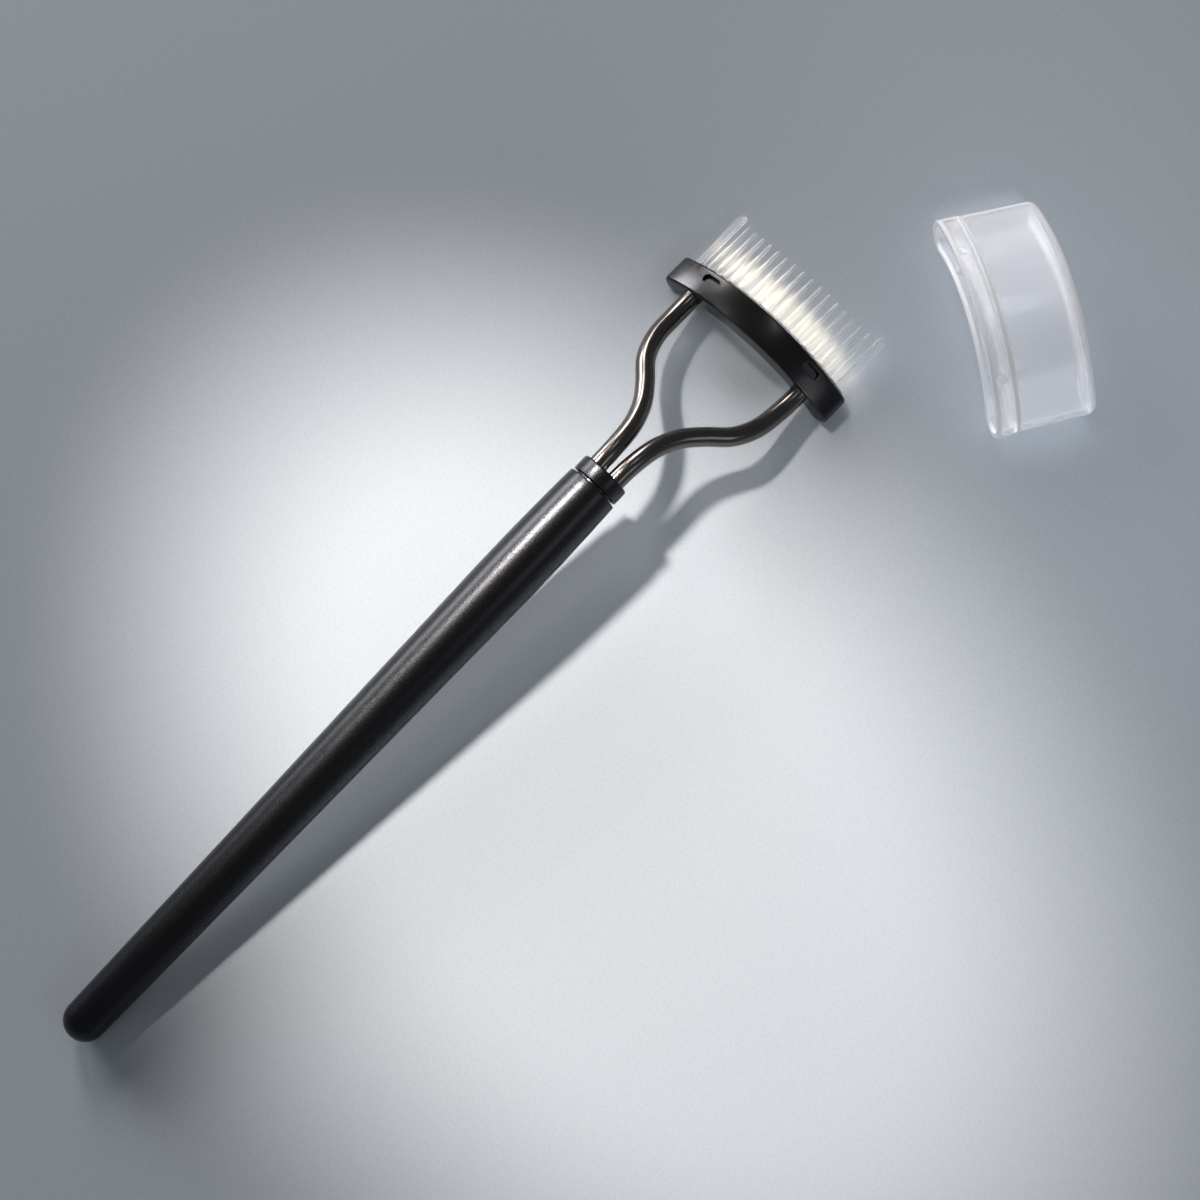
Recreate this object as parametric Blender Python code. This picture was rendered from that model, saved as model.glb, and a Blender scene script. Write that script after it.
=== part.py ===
"""Eyelash comb with an arched head, a two-wire fork and a push-on cap.

The comb lies as on a table: it touches down on its round tail and on the two
ends of the arched head. +Y runs from the tail to the teeth, +X is the
comb's right hand side and +Z is up. The cap has been pulled off and lies
beside the teeth. All sizes are real ones, in metres.
"""

import math

import bmesh
import bpy
from mathutils import Matrix, Vector

MM = 0.001

# Fits
SLIDING_FIT = 0.15 * MM
VISIBLE_GROOVE = 0.30 * MM

# Handle, turned from bar
HANDLE_LENGTH = 87.0 * MM
TAIL_RADIUS = 2.58 * MM
TAIL_DOME = 2.45 * MM
TAIL_MARK_RADIUS = 0.55 * MM
TAIL_MARK_DEPTH = 0.30 * MM
SWELL_END = 72.0 * MM
SWELL_RADIUS = 3.58 * MM
NECK_START = 74.0 * MM
NECK_RADIUS = 3.36 * MM
MOUTH_CHAMFER = 0.18 * MM
SOCKET_DEPTH = 10.0 * MM
HANDLE_RISE = math.radians(5.0)

# Collar that holds the two wires in the mouth of the handle
COLLAR_RADIUS = 3.20 * MM
COLLAR_LENGTH = 2.00 * MM
COLLAR_CHAMFER = 0.12 * MM
COLLAR_FILLET = 0.35 * MM
PRONG_LENGTH = 8.5 * MM

# Fork of two bent steel wires
WIRE_RADIUS = 1.20 * MM
WIRE_GAP = 0.42 * MM
WIRE_TAIL = 9.6 * MM
FORK_REACH = 24.7 * MM
FORK_HALF_SPREAD = 8.85 * MM
PIN_RADIUS = 0.75 * MM
PIN_LENGTH = 1.70 * MM
# How far the wire has spread after each share of the fork's reach
FLARE = (
    (0.12, 0.015),
    (0.24, 0.060),
    (0.32, 0.135),
    (0.40, 0.262),
    (0.485, 0.476),
    (0.585, 0.765),
    (0.71, 0.934),
    (0.85, 0.985),
    (1.0, 1.0),
)

# Arched head
ARCH_RADIUS = 19.0 * MM
HEAD_HALF_WIDTH = 13.45 * MM
HEAD_HALF_THICKNESS = 1.45 * MM
HEAD_DEPTH = 3.85 * MM
HEAD_FILLET = 0.38 * MM
CHANNEL_DEPTH = 1.50 * MM
RECESS_LENGTH = 2.55 * MM
RECESS_WIDTH = 1.05 * MM
RECESS_DEPTH = 0.50 * MM
RECESS_ALONG_ARCH = 7.9 * MM

# Clear moulded comb
STRIP_HALF_THICKNESS = 0.50 * MM
STRIP_BURIED = 1.30 * MM
STRIP_PROUD = 0.45 * MM
TOOTH_COUNT = 16
TOOTH_PITCH = 1.40 * MM
TOOTH_REACH = 7.30 * MM
TOOTH_END_EXTRA = 0.60 * MM
TOOTH_ROOT_RADIUS = 0.42 * MM
TOOTH_TIP_RADIUS = 0.21 * MM
GUARD_REACH = 9.0 * MM
GUARD_ALONG_ARCH = 12.50 * MM
GUARD_HALF_WIDTH = 0.66 * MM
GUARD_HALF_THICKNESS = 0.22 * MM

# Cap
CAP_WALL = 0.70 * MM
CAP_TOOTH_ROOM = 1.35 * MM
CAP_SKIRT_LENGTH = 2.80 * MM
CAP_SEAT_DEPTH = 2.60 * MM
CAP_DEPTH = 12.95 * MM
CAP_END_WALL = 0.80 * MM
CAP_END_FILLET = 1.40 * MM
CAP_LIP_FILLET = 0.12 * MM
BUMP_RADIUS = 0.65 * MM
BUMP_HEIGHT = 0.30 * MM
CAP_TURN = math.radians(32.8)
CAP_ASIDE = 17.95 * MM
CAP_AHEAD = 9.4 * MM

# Facets
TURNED_SIDES = 40
WIRE_SIDES = 16
WIRE_STEPS = 40
ARCH_STEPS = 24
END_STEPS = 8
FILLET_STEPS = 4
TIP_STEPS = 3

# Sizes that follow from the ones above
WIRE_HALF_SPACING = WIRE_RADIUS + WIRE_GAP / 2
SOCKET_RADIUS = WIRE_HALF_SPACING + WIRE_RADIUS + SLIDING_FIT
HEAD_END_ANGLE = math.asin((HEAD_HALF_WIDTH - HEAD_HALF_THICKNESS) / ARCH_RADIUS)
STRIP_END_ANGLE = (
    GUARD_ALONG_ARCH + GUARD_HALF_WIDTH + 0.1 * MM - STRIP_HALF_THICKNESS
) / ARCH_RADIUS
CAP_SKIRT_ROOM = HEAD_HALF_THICKNESS + SLIDING_FIT
CAP_SKIRT_HALF = CAP_SKIRT_ROOM + CAP_WALL
CAP_BODY_HALF = CAP_TOOTH_ROOM + CAP_WALL
ARCH_CENTRE_HEIGHT = HEAD_HALF_THICKNESS - ARCH_RADIUS * math.cos(HEAD_END_ANGLE)
CAP_CENTRE_HEIGHT = CAP_SKIRT_HALF - ARCH_RADIUS * math.cos(HEAD_END_ANGLE)
COLLAR_FRONT = HANDLE_LENGTH + VISIBLE_GROOVE + COLLAR_LENGTH
# The handle tilts about the middle of its domed tail, which rests on the table.
COLLAR_FRONT_Y = (COLLAR_FRONT - TAIL_DOME) * math.cos(HANDLE_RISE)
COLLAR_FRONT_Z = TAIL_RADIUS + (COLLAR_FRONT - TAIL_DOME) * math.sin(HANDLE_RISE)
HEAD_BACK_Y = COLLAR_FRONT_Y + FORK_REACH
HEAD_FRONT_Y = HEAD_BACK_Y + HEAD_DEPTH


def clear_scene():
    """Removes what a new file starts with."""
    for obj in list(bpy.data.objects):
        bpy.data.objects.remove(obj)


def material(name, rgb, roughness, metallic=0.0, transmission=0.0):
    """A plain finish in the part's own colour."""
    finish = bpy.data.materials.new(name)
    finish.use_nodes = True
    shader = finish.node_tree.nodes["Principled BSDF"]
    shader.inputs["Base Color"].default_value = (*rgb, 1.0)
    shader.inputs["Roughness"].default_value = roughness
    shader.inputs["Metallic"].default_value = metallic
    shader.inputs["Transmission Weight"].default_value = transmission
    return finish


def finish_mesh(name, bm, finish, parent=None, helper=False, sharp=35.0):
    """Turns a bmesh into a named, smooth shaded object that stands on its own."""
    bmesh.ops.remove_doubles(bm, verts=bm.verts, dist=1e-7)
    bmesh.ops.recalc_face_normals(bm, faces=bm.faces)
    mesh = bpy.data.meshes.new(name)
    bm.to_mesh(mesh)
    bm.free()
    mesh.shade_smooth()
    mesh.set_sharp_from_angle(angle=math.radians(sharp))
    obj = bpy.data.objects.new(name, mesh)
    bpy.context.scene.collection.objects.link(obj)
    obj.parent = parent
    if helper:
        obj.hide_render = True
        obj.display_type = "WIRE"
    else:
        mesh.materials.append(finish)
    return obj


def empty(name, location, rotation=(0.0, 0.0, 0.0), parent=None):
    """A frame that other pieces are placed in."""
    frame = bpy.data.objects.new(name, None)
    bpy.context.scene.collection.objects.link(frame)
    frame.empty_display_size = 5 * MM
    frame.location = location
    frame.rotation_euler = rotation
    frame.parent = parent
    return frame


def cut(obj, cutter, operation="DIFFERENCE"):
    """Adds a Boolean of the helper to the object and leaves it live."""
    modifier = obj.modifiers.new(cutter.name, "BOOLEAN")
    modifier.operation = operation
    modifier.object = cutter
    return modifier


def turned(profile):
    """Spins (radius, distance) points about the Y axis into a closed solid."""
    bm = bmesh.new()
    verts = [bm.verts.new((radius, y, 0.0)) for radius, y in profile]
    edges = [bm.edges.new(pair) for pair in zip(verts, verts[1:])]
    bmesh.ops.spin(
        bm,
        geom=verts + edges,
        axis=(0.0, 1.0, 0.0),
        cent=(0.0, 0.0, 0.0),
        angle=2 * math.pi,
        steps=TURNED_SIDES,
        use_merge=True,
    )
    return bm


def handle_radius(y):
    """Outer radius of the handle at a distance from its tail end."""
    swell = min((y - TAIL_DOME) / (SWELL_END - TAIL_DOME), 1.0)
    neck = max((y - NECK_START) / (HANDLE_LENGTH - NECK_START), 0.0)
    radius = TAIL_RADIUS + (SWELL_RADIUS - TAIL_RADIUS) * swell
    return radius + (NECK_RADIUS - SWELL_RADIUS) * neck**2


def make_handle(frame, finish):
    """Slim tapered handle with a domed tail and a blind socket in its mouth."""
    profile = [(0.0, TAIL_MARK_DEPTH)]
    profile.append((TAIL_MARK_RADIUS * 0.7, TAIL_MARK_DEPTH))
    dome_steps = 9
    first = math.asin(TAIL_MARK_RADIUS / TAIL_RADIUS)
    for i in range(dome_steps + 1):
        angle = first + (math.pi / 2 - first) * i / dome_steps
        profile.append(
            (TAIL_RADIUS * math.sin(angle), TAIL_DOME * (1.0 - math.cos(angle)))
        )
    end = HANDLE_LENGTH - MOUTH_CHAMFER
    for y in (SWELL_END / 4, SWELL_END / 2, SWELL_END * 3 / 4, SWELL_END, NECK_START):
        profile.append((handle_radius(y), y))
    neck_steps = 6
    for i in range(1, neck_steps + 1):
        y = NECK_START + (end - NECK_START) * i / neck_steps
        profile.append((handle_radius(y), y))
    profile.append((NECK_RADIUS - MOUTH_CHAMFER, HANDLE_LENGTH))
    profile.append((SOCKET_RADIUS, HANDLE_LENGTH))
    profile.append((SOCKET_RADIUS, HANDLE_LENGTH - SOCKET_DEPTH))
    profile.append((0.0, HANDLE_LENGTH - SOCKET_DEPTH))
    return finish_mesh("handle", turned(profile), finish, frame)


def stadium_prism(name, half_length, half_width, depth, frame):
    """Helper solid: a stadium in the XZ plane, extruded along +Y from 0."""
    bm = bmesh.new()
    straight = half_length - half_width
    steps = END_STEPS
    outline = []
    for side in (1, -1):
        for i in range(steps + 1):
            angle = math.pi * i / steps - math.pi / 2
            x = side * (straight + half_width * math.cos(angle))
            z = side * half_width * math.sin(angle)
            outline.append(bm.verts.new((x, 0.0, z)))
    face = bm.faces.new(outline)
    top = bmesh.ops.extrude_face_region(bm, geom=[face])["geom"]
    moved = [v for v in top if isinstance(v, bmesh.types.BMVert)]
    bmesh.ops.translate(bm, verts=moved, vec=(0.0, depth, 0.0))
    return finish_mesh(name, bm, None, frame, helper=True)


def make_collar(frame, finish):
    """Turned flange with two prongs that wedge the wires in the socket."""
    back = HANDLE_LENGTH + VISIBLE_GROOVE
    prong_radius = SOCKET_RADIUS - SLIDING_FIT
    profile = [
        (0.0, back - PRONG_LENGTH),
        (prong_radius - COLLAR_CHAMFER, back - PRONG_LENGTH),
        (prong_radius, back - PRONG_LENGTH + COLLAR_CHAMFER),
        (prong_radius, back),
        (COLLAR_RADIUS - COLLAR_CHAMFER, back),
        (COLLAR_RADIUS, back + COLLAR_CHAMFER),
    ]
    for i in range(FILLET_STEPS + 1):
        angle = math.pi / 2 * i / FILLET_STEPS
        profile.append(
            (
                COLLAR_RADIUS - COLLAR_FILLET * (1.0 - math.cos(angle)),
                COLLAR_FRONT - COLLAR_FILLET * (1.0 - math.sin(angle)),
            )
        )
    profile.append((0.0, COLLAR_FRONT))
    collar = finish_mesh("wire_collar", turned(profile), finish, frame)
    overrun = 1 * MM
    slot = stadium_prism(
        "collar_slot",
        SOCKET_RADIUS,
        WIRE_RADIUS + SLIDING_FIT,
        PRONG_LENGTH + COLLAR_LENGTH + 2 * overrun,
        frame,
    )
    slot.location = (0.0, back - PRONG_LENGTH - overrun, 0.0)
    cut(collar, slot)
    return collar


def hermite(start, end, slope_start, slope_end, share, span):
    """Height on a cubic between two ends with given slopes."""
    s2, s3 = share * share, share**3
    return (
        (2 * s3 - 3 * s2 + 1) * start
        + (s3 - 2 * s2 + share) * slope_start * span
        + (3 * s2 - 2 * s3) * end
        + (s3 - s2) * slope_end * span
    )


def flare_share(share):
    """How far the wire has spread at a share of the reach, on a smooth curve."""
    knots = [(-0.1, 0.0), (0.0, 0.0), *FLARE, (1.1, 1.0)]
    for i in range(1, len(knots) - 2):
        (x0, y0), (x1, y1) = knots[i], knots[i + 1]
        if share <= x1:
            before = (y1 - knots[i - 1][1]) / (x1 - knots[i - 1][0])
            after = (knots[i + 2][1] - y0) / (knots[i + 2][0] - x0)
            local = (share - x0) / (x1 - x0)
            return hermite(y0, y1, before, after, local, x1 - x0)
    return 1.0


def arch_height(x):
    """Height of the head's middle line at a distance from the comb's plane."""
    return ARCH_CENTRE_HEIGHT + math.sqrt(ARCH_RADIUS**2 - x**2)


def wire_route(side):
    """Points down the middle of a wire, from its tail in the handle to the head."""
    axis = Vector((0.0, math.cos(HANDLE_RISE), math.sin(HANDLE_RISE)))
    mouth = Vector((side * WIRE_HALF_SPACING, COLLAR_FRONT_Y, COLLAR_FRONT_Z))
    tail_end = mouth - axis * (COLLAR_LENGTH + VISIBLE_GROOVE + WIRE_TAIL)
    route = [tail_end]
    span = FORK_REACH - SLIDING_FIT
    end_height = arch_height(FORK_HALF_SPREAD)
    for i in range(WIRE_STEPS + 1):
        share = i / WIRE_STEPS
        spread = (FORK_HALF_SPREAD - WIRE_HALF_SPACING) * flare_share(share)
        height = hermite(
            COLLAR_FRONT_Z, end_height, math.tan(HANDLE_RISE), 0.0, share, span
        )
        route.append(
            Vector(
                (
                    side * (WIRE_HALF_SPACING + spread),
                    COLLAR_FRONT_Y + share * span,
                    height,
                )
            )
        )
    return route


def ring(bm, centre, along, across, radius, sides):
    """A circle of points round a line."""
    up = across.cross(along).normalized()
    across = along.cross(up).normalized()
    return [
        bm.verts.new(
            centre
            + radius * math.cos(2 * math.pi * i / sides) * across
            + radius * math.sin(2 * math.pi * i / sides) * up
        )
        for i in range(sides)
    ]


def bridge(bm, first, second):
    """Quads between two rings of equal count."""
    count = len(first)
    for i in range(count):
        j = (i + 1) % count
        bm.faces.new((first[i], first[j], second[j], second[i]))


def make_wire(name, side, frame, finish):
    """One bent wire, turned down to a pin where it enters the head."""
    route = wire_route(side)
    bm = bmesh.new()
    across = Vector((1.0, 0.0, 0.0))
    rings = []
    for i, point in enumerate(route):
        before = route[max(i - 1, 0)]
        after = route[min(i + 1, len(route) - 1)]
        along = (after - before).normalized()
        if i == len(route) - 1:
            along = Vector((0.0, 1.0, 0.0))
        rings.append(ring(bm, point, along, across, WIRE_RADIUS, WIRE_SIDES))
    tip = route[-1]
    forward = Vector((0.0, 1.0, 0.0))
    pin_end = tip + forward * PIN_LENGTH
    rings.append(ring(bm, tip, forward, across, PIN_RADIUS, WIRE_SIDES))
    rings.append(ring(bm, pin_end, forward, across, PIN_RADIUS, WIRE_SIDES))
    for first, second in zip(rings, rings[1:]):
        bridge(bm, first, second)
    bm.faces.new(rings[0])
    bm.faces.new(rings[-1])
    return finish_mesh(name, bm, finish, frame)


def arch_outline(half_thickness, end_angle, centre_height):
    """(x, z) points round a bar bent to the arch, with full round ends."""
    points = []
    for i in range(ARCH_STEPS + 1):
        angle = -end_angle + 2 * end_angle * i / ARCH_STEPS
        radius = ARCH_RADIUS + half_thickness
        points.append((radius * math.sin(angle), radius * math.cos(angle)))
    for side in (1, -1):
        centre = (
            side * ARCH_RADIUS * math.sin(end_angle),
            ARCH_RADIUS * math.cos(end_angle),
        )
        for i in range(1, END_STEPS):
            turn = math.pi * i / END_STEPS
            heading = side * end_angle + side * turn if side > 0 else 0.0
            if side < 0:
                heading = -end_angle - math.pi + turn
            points.append(
                (
                    centre[0] + half_thickness * math.sin(heading),
                    centre[1] + half_thickness * math.cos(heading),
                )
            )
        if side > 0:
            for i in range(ARCH_STEPS + 1):
                angle = end_angle - 2 * end_angle * i / ARCH_STEPS
                radius = ARCH_RADIUS - half_thickness
                points.append((radius * math.sin(angle), radius * math.cos(angle)))
    return [(x, z + centre_height) for x, z in points]


def arch_loft(bm, sections, end_angle, centre_height):
    """Bridges arch outlines given as (half thickness, y), and closes both ends."""
    rings = []
    for half_thickness, y in sections:
        outline = arch_outline(half_thickness, end_angle, centre_height)
        rings.append([bm.verts.new((x, y, z)) for x, z in outline])
    for first, second in zip(rings, rings[1:]):
        bridge(bm, first, second)
    close_arch(bm, rings[0])
    close_arch(bm, rings[-1])
    return rings


def close_arch(bm, loop):
    """Fills an arch outline with a strip of quads and a fan at each round end."""
    arch = ARCH_STEPS + 1
    upper = loop[:arch]
    right_end = loop[arch : arch + END_STEPS - 1]
    lower = loop[arch + END_STEPS - 1 : 2 * arch + END_STEPS - 1]
    left_end = loop[2 * arch + END_STEPS - 1 :]
    lower = lower[::-1]
    for i in range(ARCH_STEPS):
        bm.faces.new((upper[i], upper[i + 1], lower[i + 1], lower[i]))
    bm.faces.new((upper[-1], *right_end, lower[-1]))
    bm.faces.new((lower[0], *left_end, upper[0]))


def rounded_sections(half_thickness, start, end, fillet, fillet_both=True):
    """Sections of a bar whose edges are rounded at both ends, or at the end only."""
    sections = []
    if fillet_both:
        for i in range(FILLET_STEPS + 1):
            angle = math.pi / 2 * i / FILLET_STEPS
            inset = fillet * (1.0 - math.sin(angle))
            sections.append((half_thickness - inset, start + fillet * (1 - math.cos(angle))))
    else:
        sections.append((half_thickness, start))
    for i in range(FILLET_STEPS + 1):
        angle = math.pi / 2 * i / FILLET_STEPS
        inset = fillet * (1.0 - math.cos(angle))
        sections.append((half_thickness - inset, end - fillet * (1 - math.sin(angle))))
    return sections


def place_on_arch(obj, along_arch, radius, y, centre_height):
    """Stands a helper on the arch, its +Y axis pointing out along the radius."""
    angle = along_arch / ARCH_RADIUS
    out = Vector((math.sin(angle), 0.0, math.cos(angle)))
    tangent = Vector((math.cos(angle), 0.0, -math.sin(angle)))
    turn = Matrix((tangent, out, tangent.cross(out))).transposed().to_4x4()
    centre = Vector((0.0, y, centre_height)) + radius * out
    obj.matrix_local = Matrix.Translation(centre) @ turn


def make_head_frame(frame, finish):
    """Arched bar with a comb channel, snap recesses and two blind pin holes."""
    bm = bmesh.new()
    sections = rounded_sections(
        HEAD_HALF_THICKNESS, HEAD_BACK_Y, HEAD_FRONT_Y, HEAD_FILLET
    )
    arch_loft(bm, sections, HEAD_END_ANGLE, ARCH_CENTRE_HEIGHT)
    head = finish_mesh("head_frame", bm, finish, frame)

    overrun = 1 * MM
    channel = bmesh.new()
    sections = [
        (STRIP_HALF_THICKNESS + SLIDING_FIT, HEAD_FRONT_Y - CHANNEL_DEPTH),
        (STRIP_HALF_THICKNESS + SLIDING_FIT, HEAD_FRONT_Y + overrun),
    ]
    arch_loft(channel, sections, STRIP_END_ANGLE, ARCH_CENTRE_HEIGHT)
    cut(head, finish_mesh("comb_channel", channel, None, frame, helper=True))

    for side, word in ((-1, "left"), (1, "right")):
        for face, direction in (("upper", 1), ("lower", -1)):
            recess = stadium_prism(
                f"recess_{word}_{face}",
                RECESS_LENGTH / 2,
                RECESS_WIDTH / 2,
                RECESS_DEPTH + overrun,
                frame,
            )
            if direction > 0:
                floor = ARCH_RADIUS + HEAD_HALF_THICKNESS - RECESS_DEPTH
            else:
                floor = ARCH_RADIUS - HEAD_HALF_THICKNESS - overrun
            place_on_arch(
                recess,
                side * RECESS_ALONG_ARCH,
                floor,
                HEAD_FRONT_Y - CAP_SEAT_DEPTH / 2,
                ARCH_CENTRE_HEIGHT,
            )
            cut(head, recess)
        hole = bmesh.new()
        centre = Vector(
            (side * FORK_HALF_SPREAD, HEAD_BACK_Y, arch_height(FORK_HALF_SPREAD))
        )
        forward, across = Vector((0.0, 1.0, 0.0)), Vector((1.0, 0.0, 0.0))
        radius = PIN_RADIUS + SLIDING_FIT
        back = ring(hole, centre - forward * overrun, forward, across, radius, WIRE_SIDES)
        front = ring(
            hole,
            centre + forward * (PIN_LENGTH + SLIDING_FIT),
            forward,
            across,
            radius,
            WIRE_SIDES,
        )
        bridge(hole, back, front)
        hole.faces.new(back)
        hole.faces.new(front)
        cut(head, finish_mesh(f"pin_hole_{word}", hole, None, frame, helper=True))
    return head


def tooth(bm, along_arch, reach, root, tip, corner=math.cos(math.pi / 4)):
    """One tooth with a round tip, rooted inside the strip.

    root and tip are (half width, half thickness). corner places the four
    diagonal points of the section: a circle by default, nearer 1 for a flat bar.
    """
    angle = along_arch / ARCH_RADIUS
    out = Vector((math.sin(angle), 0.0, math.cos(angle)))
    tangent = Vector((math.cos(angle), 0.0, -math.sin(angle)))
    foot = Vector((0.0, HEAD_FRONT_Y, ARCH_CENTRE_HEIGHT)) + ARCH_RADIUS * out
    section = [(1, 0), (corner, corner), (0, 1), (-corner, corner)]
    section += [(-x, -z) for x, z in section]
    start = STRIP_PROUD / 2
    shoulder = reach - tip[0]
    stations = [(start, root, 1.0), (shoulder, tip, 1.0)]
    for i in range(1, TIP_STEPS):
        turn = math.pi / 2 * i / TIP_STEPS
        stations.append((shoulder + tip[0] * math.sin(turn), tip, math.cos(turn)))
    rings = []
    for y, (wide, thick), size in stations:
        rings.append(
            [
                bm.verts.new(
                    foot
                    + Vector((0.0, y, 0.0))
                    + wide * size * x * tangent
                    + thick * size * z * out
                )
                for x, z in section
            ]
        )
    for first, second in zip(rings, rings[1:]):
        bridge(bm, first, second)
    bm.faces.new(rings[0])
    point = bm.verts.new(foot + Vector((0.0, reach, 0.0)))
    for first, second in zip(rings[-1], rings[-1][1:] + rings[-1][:1]):
        bm.faces.new((first, second, point))


def make_comb_insert(frame, finish):
    """Clear strip with a row of fine teeth and a broader guard at each end."""
    strip = bmesh.new()
    sections = [
        (STRIP_HALF_THICKNESS, HEAD_FRONT_Y - STRIP_BURIED),
        (STRIP_HALF_THICKNESS, HEAD_FRONT_Y + STRIP_PROUD),
    ]
    arch_loft(strip, sections, STRIP_END_ANGLE, ARCH_CENTRE_HEIGHT)
    insert = finish_mesh("comb_insert", strip, finish, frame)

    teeth = bmesh.new()
    last = (TOOTH_COUNT - 1) / 2
    for i in range(TOOTH_COUNT):
        place = (i - last) / last
        tooth(
            teeth,
            place * last * TOOTH_PITCH,
            TOOTH_REACH + TOOTH_END_EXTRA * place**4,
            (TOOTH_ROOT_RADIUS, TOOTH_ROOT_RADIUS),
            (TOOTH_TIP_RADIUS, TOOTH_TIP_RADIUS),
        )
    for side in (-1, 1):
        size = (GUARD_HALF_WIDTH, GUARD_HALF_THICKNESS)
        tooth(teeth, side * GUARD_ALONG_ARCH, GUARD_REACH, size, size, corner=0.9)
    row = finish_mesh("tooth_row", teeth, None, frame, helper=True)
    cut(insert, row, "UNION")
    return insert


def make_cap(frame, finish):
    """Open pocket that slides over teeth and head, with a stepped skirt."""
    bm = bmesh.new()
    inner_end = CAP_DEPTH - CAP_END_WALL
    sections = [
        (CAP_TOOTH_ROOM, inner_end),
        (CAP_TOOTH_ROOM, CAP_SEAT_DEPTH),
        (CAP_SKIRT_ROOM, CAP_SEAT_DEPTH),
        (CAP_SKIRT_ROOM, CAP_LIP_FILLET),
        (CAP_SKIRT_ROOM + CAP_LIP_FILLET, 0.0),
        (CAP_SKIRT_HALF - CAP_LIP_FILLET, 0.0),
        (CAP_SKIRT_HALF, CAP_LIP_FILLET),
        (CAP_SKIRT_HALF, CAP_SKIRT_LENGTH),
    ]
    sections += rounded_sections(
        CAP_BODY_HALF, CAP_SKIRT_LENGTH, CAP_DEPTH, CAP_END_FILLET, fillet_both=False
    )
    arch_loft(bm, sections, HEAD_END_ANGLE, CAP_CENTRE_HEIGHT)
    cap = finish_mesh("cap", bm, finish, frame)

    for side, word in ((-1, "left"), (1, "right")):
        for face, direction in (("upper", 1), ("lower", -1)):
            bump = bmesh.new()
            bmesh.ops.create_uvsphere(
                bump, u_segments=12, v_segments=8, radius=BUMP_RADIUS
            )
            bmesh.ops.rotate(
                bump,
                verts=bump.verts,
                cent=(0.0, 0.0, 0.0),
                matrix=Matrix.Rotation(math.pi / 2, 3, "X"),
            )
            squash = 2 * BUMP_HEIGHT / (2 * BUMP_RADIUS)
            bmesh.ops.scale(bump, verts=bump.verts, vec=(1.0, squash, 1.0))
            dome = finish_mesh(f"bump_{word}_{face}", bump, None, frame, helper=True)
            place_on_arch(
                dome,
                side * RECESS_ALONG_ARCH,
                ARCH_RADIUS + direction * CAP_SKIRT_ROOM,
                CAP_SEAT_DEPTH / 2,
                CAP_CENTRE_HEIGHT,
            )
            cut(cap, dome, "UNION")
    return cap


def bounds(objects):
    """Lowest and highest corner of the finished pieces."""
    graph = bpy.context.evaluated_depsgraph_get()
    low = Vector((math.inf,) * 3)
    high = Vector((-math.inf,) * 3)
    for obj in objects:
        done = obj.evaluated_get(graph)
        for vert in done.to_mesh().vertices:
            point = done.matrix_world @ vert.co
            low = Vector(map(min, low, point))
            high = Vector(map(max, high, point))
        done.to_mesh_clear()
    return low, high


def build():
    """Makes every piece and stands the whole over the origin."""
    clear_scene()
    anodised = material("black_anodised_aluminium", (0.010, 0.010, 0.011), 0.38, 1.0)
    ferrule = material("black_ferrule", (0.016, 0.016, 0.018), 0.42, 1.0)
    wire = material("black_nickel_steel", (0.06, 0.058, 0.058), 0.16, 1.0)
    black = material("black_gloss_plastic", (0.008, 0.008, 0.009), 0.22)
    clear = material("clear_plastic", (0.95, 0.95, 0.95), 0.05, transmission=1.0)
    frosted = material("frosted_plastic", (0.88, 0.90, 0.93), 0.35, transmission=0.8)

    whole = empty("whole", (0.0, 0.0, 0.0))
    tail_centre = empty(
        "handle_line", (0.0, 0.0, TAIL_RADIUS), (HANDLE_RISE, 0.0, 0.0), whole
    )
    handle_frame = empty("handle_frame", (0.0, -TAIL_DOME, 0.0), parent=tail_centre)
    cap_frame = empty(
        "cap_frame",
        (CAP_ASIDE, HEAD_FRONT_Y + TOOTH_REACH + CAP_AHEAD, 0.0),
        (0.0, 0.0, -CAP_TURN),
        whole,
    )
    pieces = [
        make_handle(handle_frame, anodised),
        make_collar(handle_frame, ferrule),
        make_wire("fork_wire_left", -1, whole, wire),
        make_wire("fork_wire_right", 1, whole, wire),
        make_head_frame(whole, black),
        make_comb_insert(whole, clear),
        make_cap(cap_frame, frosted),
    ]
    bpy.context.view_layer.update()
    low, high = bounds(pieces)
    whole.location = (-(low.x + high.x) / 2, -(low.y + high.y) / 2, -low.z)
    bpy.context.view_layer.update()


build()
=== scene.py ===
"""Looks of an eyelash comb and its push-on cap: fine pieces, finishes, table, light and camera."""

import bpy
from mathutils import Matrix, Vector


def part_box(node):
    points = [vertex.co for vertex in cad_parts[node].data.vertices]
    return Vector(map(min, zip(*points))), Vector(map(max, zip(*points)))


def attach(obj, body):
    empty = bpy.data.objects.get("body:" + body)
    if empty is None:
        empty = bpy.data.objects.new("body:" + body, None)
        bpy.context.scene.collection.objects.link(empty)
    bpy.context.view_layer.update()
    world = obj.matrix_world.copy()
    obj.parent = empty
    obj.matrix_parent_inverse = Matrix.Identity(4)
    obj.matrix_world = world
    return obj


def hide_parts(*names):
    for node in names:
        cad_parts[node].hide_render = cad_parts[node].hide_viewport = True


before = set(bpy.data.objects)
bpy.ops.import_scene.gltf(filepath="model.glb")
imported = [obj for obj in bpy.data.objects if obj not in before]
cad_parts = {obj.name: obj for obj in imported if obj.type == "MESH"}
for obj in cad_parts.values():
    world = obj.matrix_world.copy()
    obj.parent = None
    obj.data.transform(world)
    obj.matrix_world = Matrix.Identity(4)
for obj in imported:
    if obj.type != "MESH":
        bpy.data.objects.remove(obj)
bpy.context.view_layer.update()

import logging
import math
from dataclasses import dataclass
from enum import Enum
from typing import Any

import bpy
from mathutils import Matrix, Vector

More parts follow.
